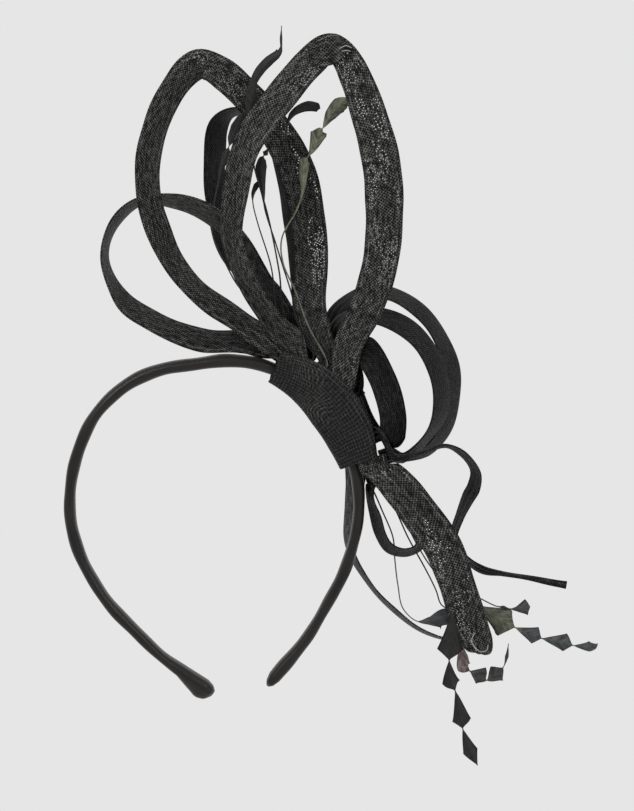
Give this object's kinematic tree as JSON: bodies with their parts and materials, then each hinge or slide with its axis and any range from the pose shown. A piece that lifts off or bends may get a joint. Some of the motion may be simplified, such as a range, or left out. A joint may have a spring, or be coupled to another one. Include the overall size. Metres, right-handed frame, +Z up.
{
  "type": "fascinator headband",
  "caption": "Black fascinator: a slim satin-covered headband with open-weave ribbon loops, a curled ribbon tail and notch-cut feathers fanning out of a folded ribbon wrap at one side.",
  "frame": {"origin": "inside top of the headband at its middle, where it sits on the crown of the head", "axes": "+Z up from the crown of the head, the long way of the whole piece; +Y to the back of the head, across the band and the shortest way; +X to the side that carries the ribbons, to the right as seen from the front"},
  "size_m": [0.2376, 0.057, 0.3492],
  "materials": {
    "satin": "black-brown satin ribbon wound over a stiff band, soft sheen",
    "ribbon_cloth": "stiff open-weave charcoal black ribbon, matt threads with small gaps between them",
    "feather": "stripped and notch-cut black feathers, satin sheen with a faint green and grey cast"
  },
  "bodies": {
    "root": {"headband": "satin", "ribbon_bundle": "ribbon_cloth", "wrap": "ribbon_cloth", "tall_front_loop": "ribbon_cloth", "tall_left_loop": "ribbon_cloth", "low_left_loop": "ribbon_cloth", "small_back_loop": "ribbon_cloth", "inner_right_loop": "ribbon_cloth", "middle_right_arc": "ribbon_cloth", "outer_right_arc": "ribbon_cloth", "lower_wide_loop": "ribbon_cloth", "lower_small_loop": "ribbon_cloth", "tail": "ribbon_cloth", "tall_feather": "feather", "tip_feather": "feather", "green_feather": "feather", "dark_feather": "feather", "short_feather": "feather", "left_feather": "feather", "right_feather": "feather", "small_feather": "feather", "hanging_feather": "feather", "curled_feather": "feather", "lower_feather": "feather"}
  },
  "joints": []
}
